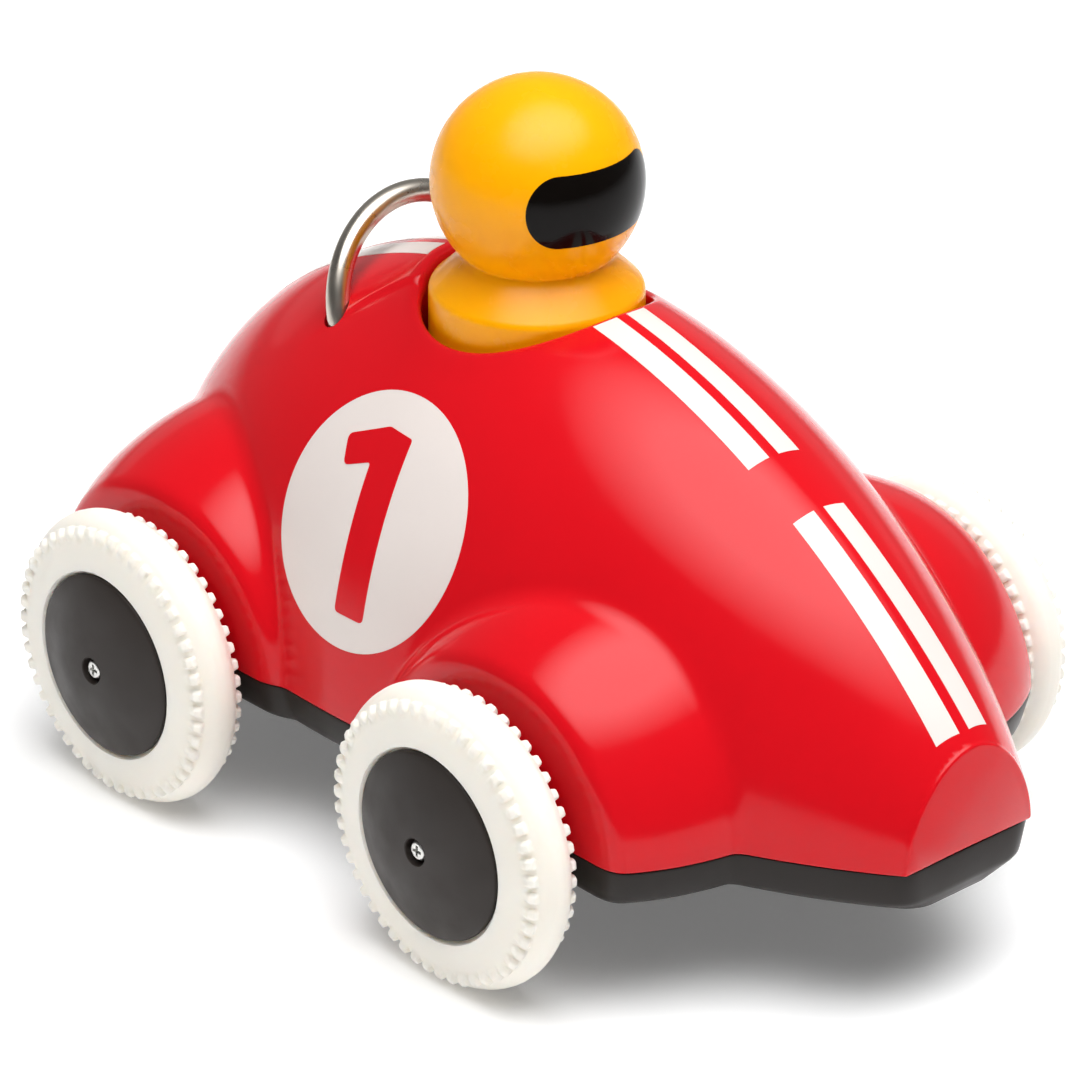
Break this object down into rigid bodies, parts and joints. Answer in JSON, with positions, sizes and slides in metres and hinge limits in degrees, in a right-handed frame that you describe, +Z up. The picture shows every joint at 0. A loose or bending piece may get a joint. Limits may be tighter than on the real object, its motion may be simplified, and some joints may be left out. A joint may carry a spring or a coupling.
{
  "type": "push-and-go toy racing car",
  "caption": "Toy racing car with an egg-shaped shell, fenders, a press-down driver in a round well, a bent-wire roll bar and wheels on steel axles.",
  "frame": {"origin": "on the ground, under the middle of the car's overall length and width", "axes": "+X towards the nose, +Y to the car's left, +Z up"},
  "size_m": [0.1466, 0.102, 0.1008],
  "materials": {
    "shell_red": "gloss moulded",
    "chassis_black": "satin moulded",
    "hub_black": "satin moulded",
    "tyre_white": "matte soft rubber",
    "driver_yellow": "satin moulded",
    "bar_steel": "polished wire",
    "screw_steel": "zinc plated",
    "shaft_steel": "drawn bright",
    "spring_steel": "drawn wire",
    "gearbox_white": "satin moulded",
    "bush_natural": "natural moulded",
    "gear_natural": "natural moulded",
    "gear_orange": "satin moulded",
    "flywheel_metal": "cast and turned",
    "pinion_brass": "turned",
    "print_white": "printed",
    "print_red": "printed",
    "visor_black": "gloss printed"
  },
  "bodies": {
    "chassis": {"body_shell": "shell_red", "chassis_base": "chassis_black", "roll_bar": "bar_steel", "chassis_screws": "screw_steel", "gearbox_left": "gearbox_white", "gearbox_right": "gearbox_white", "gearbox_screws": "screw_steel", "gearbox_mount_screws": "screw_steel", "front_bushes": "bush_natural", "rear_bushes": "bush_natural", "return_spring": "spring_steel"},
    "driver": {"driver_figure": "driver_yellow", "driver_plunger": "gearbox_white"},
    "input": {"input_shaft": "shaft_steel", "rack_pinion": "gear_natural", "ratchet_spider": "gear_orange"},
    "clutch": {"clutch_gear": "gear_natural"},
    "compound": {"compound_gear": "gear_orange", "compound_shaft": "shaft_steel"},
    "flywheel": {"flywheel": "flywheel_metal", "flywheel_shaft": "pinion_brass"},
    "rear_wheels": {"rear_axle": "shaft_steel", "rear_axle_gear": "gear_natural", "rear_left_hub": "hub_black", "rear_right_hub": "hub_black", "rear_left_tyre": "tyre_white", "rear_right_tyre": "tyre_white", "rear_hub_screws": "screw_steel"},
    "front_wheels": {"front_axle": "shaft_steel", "front_left_hub": "hub_black", "front_right_hub": "hub_black", "front_left_tyre": "tyre_white", "front_right_tyre": "tyre_white", "front_hub_screws": "screw_steel"}
  },
  "joints": [
    {"name": "driver_press", "type": "slide", "parent": "chassis", "child": "driver", "axis": [0, 0, -1], "range_m": [0, 0.01], "stiffness_N_per_m": 545, "springref_m": -0.0073, "deforming": ["return_spring"]},
    {"name": "input_turn", "type": "hinge", "parent": "chassis", "child": "input", "pos_m": [-0.01495, 0, 0.0315], "axis": [0, 1, 0], "range_deg": [0, 143.5]},
    {"name": "rear_axle_spin", "type": "hinge", "parent": "chassis", "child": "rear_wheels", "pos_m": [-0.03885, 0, 0.0205], "axis": [0, 1, 0], "continuous": true},
    {"name": "compound_spin", "type": "hinge", "parent": "chassis", "child": "compound", "pos_m": [-0.03169, 0, 0.03013], "axis": [0, 1, 0], "continuous": true},
    {"name": "clutch_spin", "type": "hinge", "parent": "chassis", "child": "clutch", "pos_m": [-0.01495, 0, 0.0315], "axis": [0, 1, 0], "continuous": true},
    {"name": "flywheel_spin", "type": "hinge", "parent": "chassis", "child": "flywheel", "pos_m": [-0.03459, 0, 0.04095], "axis": [0, 1, 0], "continuous": true},
    {"name": "front_axle_spin", "type": "hinge", "parent": "chassis", "child": "front_wheels", "pos_m": [0.02615, 0, 0.0205], "axis": [0, 1, 0], "continuous": true}
  ],
  "couplings": [
    {"joint": "input_turn", "follows": "driver_press", "rad_per_m": 250},
    {"joint": "compound_spin", "follows": "rear_axle_spin", "ratio": -0.5},
    {"joint": "clutch_spin", "follows": "rear_axle_spin", "ratio": 0.15625},
    {"joint": "flywheel_spin", "follows": "rear_axle_spin", "ratio": 1.25}
  ]
}
